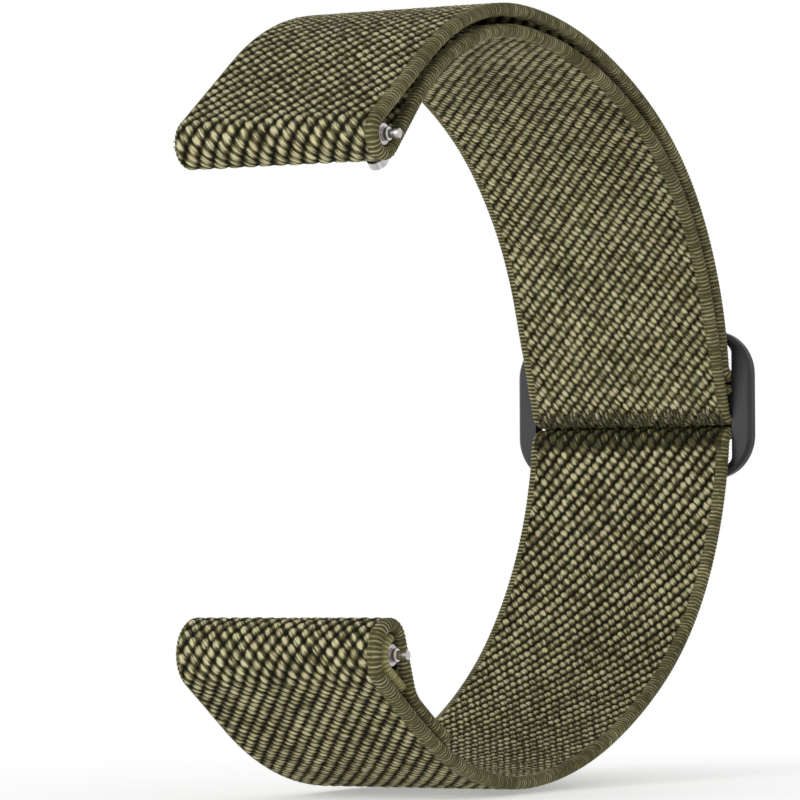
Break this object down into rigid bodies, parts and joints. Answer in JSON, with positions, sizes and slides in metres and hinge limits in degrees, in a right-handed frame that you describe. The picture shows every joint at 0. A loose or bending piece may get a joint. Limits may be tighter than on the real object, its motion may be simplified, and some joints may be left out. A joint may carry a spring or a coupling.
{
  "type": "elastic watch band",
  "caption": "Closed band of elastic woven webbing with a sliding metal buckle and quick-release spring bars at both ends.",
  "frame": {"origin": "midway between the two spring bars, on the middle of the band's width", "axes": "+X along the spring bars towards the release levers, +Y from the dial side to the back of the wrist, +Z from six o'clock to twelve o'clock"},
  "size_m": [0.0244, 0.0658, 0.0672],
  "materials": {
    "webbing": "woven nylon and rubber yarn",
    "webbing_strip": "woven nylon",
    "slider": "satin dark grey coating",
    "steel": "turned",
    "spring_wire": "drawn wire"
  },
  "bodies": {
    "band": {"webbing_lower_run": "webbing", "webbing_lower_loop": "webbing", "lower_tunnel_strip": "webbing_strip", "webbing_lower_feed": "webbing", "webbing_upper_feed": "webbing", "webbing_outer_run": "webbing", "webbing_upper_loop": "webbing", "webbing_inner_run": "webbing", "webbing_inner_feed": "webbing"},
    "slider": {"slider_frame": "slider", "webbing_slider_pass": "webbing", "webbing_anchor_fold": "webbing"},
    "upper_bar": {"upper_bar_tube": "steel", "upper_bar_spring": "spring_wire"},
    "upper_plain_tip": {"upper_bar_plain_tip": "steel"},
    "upper_release_tip": {"upper_bar_release_tip": "steel", "upper_bar_release_lever": "steel"},
    "lower_bar": {"lower_bar_tube": "steel", "lower_bar_spring": "spring_wire"},
    "lower_plain_tip": {"lower_bar_plain_tip": "steel"},
    "lower_release_tip": {"lower_bar_release_tip": "steel", "lower_bar_release_lever": "steel"}
  },
  "joints": [
    {"name": "slider_travel", "type": "hinge", "parent": "band", "child": "slider", "pos_m": [0, 0.02789, 0], "axis": [1, 0, 0], "range_deg": [-22, 22], "deforming": ["webbing_lower_feed", "webbing_upper_feed", "webbing_inner_feed"]},
    {"name": "upper_bar_turn", "type": "hinge", "parent": "band", "child": "upper_bar", "pos_m": [0, 0, 0.02137], "axis": [1, 0, 0], "range_deg": [-12, 12]},
    {"name": "upper_plain_tip_press", "type": "slide", "parent": "upper_bar", "child": "upper_plain_tip", "axis": [1, 0, 0], "range_m": [0, 0.0012], "stiffness_N_per_m": 1200, "springref_m": -0.001, "deforming": ["upper_bar_spring"]},
    {"name": "upper_release", "type": "slide", "parent": "upper_bar", "child": "upper_release_tip", "axis": [-1, 0, 0], "range_m": [0, 0.0012], "stiffness_N_per_m": 1200, "springref_m": -0.001, "deforming": ["upper_bar_spring"]},
    {"name": "lower_bar_turn", "type": "hinge", "parent": "band", "child": "lower_bar", "pos_m": [0, 0, -0.02137], "axis": [1, 0, 0], "range_deg": [-12, 12]},
    {"name": "lower_plain_tip_press", "type": "slide", "parent": "lower_bar", "child": "lower_plain_tip", "axis": [1, 0, 0], "range_m": [0, 0.0012], "stiffness_N_per_m": 1200, "springref_m": -0.001, "deforming": ["lower_bar_spring"]},
    {"name": "lower_release", "type": "slide", "parent": "lower_bar", "child": "lower_release_tip", "axis": [-1, 0, 0], "range_m": [0, 0.0012], "stiffness_N_per_m": 1200, "springref_m": -0.001, "deforming": ["lower_bar_spring"]}
  ]
}
